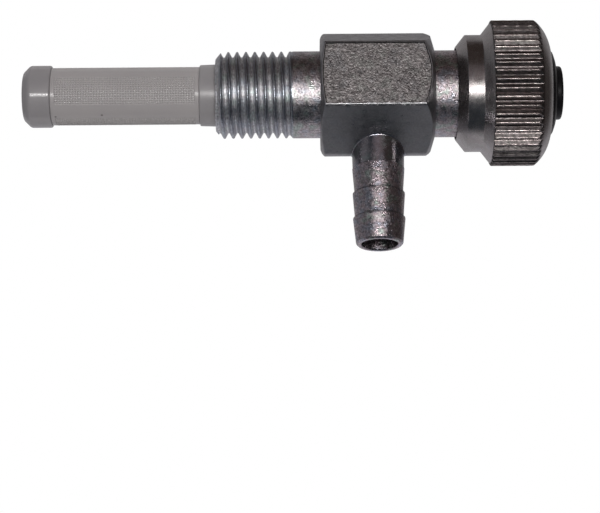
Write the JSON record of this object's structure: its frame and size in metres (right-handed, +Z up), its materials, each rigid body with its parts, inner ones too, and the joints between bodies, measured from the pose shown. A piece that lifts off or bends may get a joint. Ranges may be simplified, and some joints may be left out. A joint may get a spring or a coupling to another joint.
{
  "type": "fuel tap",
  "caption": "Screw-down fuel tap with a threaded tank nipple, hexagon body, barbed hose tail, knurled knob and push-in strainer.",
  "frame": {"origin": "on the tap's axis, at the hexagon's face that seats against the tank", "axes": "+X along the tap's axis from the strainer to the knob, -Z along the hose tail, +Z up, -Y out of the hexagon's plain front flat"},
  "size_m": [0.0815, 0.022, 0.035],
  "materials": {
    "zinc_plate": "zinc plated die casting, satin",
    "nickel_plate": "nickel plated turned brass, bright",
    "brass": "turned brass",
    "steel": "plain",
    "rubber": "matt",
    "black_plastic": "slightly glossy",
    "nylon": "milky, satin",
    "gauze_nylon": "fine nylon gauze"
  },
  "bodies": {
    "tap": {"tap_body": "zinc_plate", "strainer_frame": "nylon", "strainer_gauze": "gauze_nylon"},
    "spindle": {"spindle": "brass", "valve_seal": "rubber", "seal_screw": "steel", "front_sealing_ring": "rubber", "rear_sealing_ring": "rubber", "thrust_washer": "steel", "retaining_clip": "steel"},
    "knob": {"knob": "nickel_plate", "knob_cap": "black_plastic"}
  },
  "joints": [
    {"name": "spindle_lift", "type": "slide", "parent": "tap", "child": "spindle", "axis": [1, 0, 0], "range_m": [0, 0.00201]},
    {"name": "knob_turn", "type": "hinge", "parent": "spindle", "child": "knob", "pos_m": [0.0272, 0, 0], "axis": [1, 0, 0], "range_deg": [0, 540]}
  ],
  "couplings": [
    {"joint": "knob_turn", "follows": "spindle_lift", "rad_per_m": 4699.5}
  ]
}
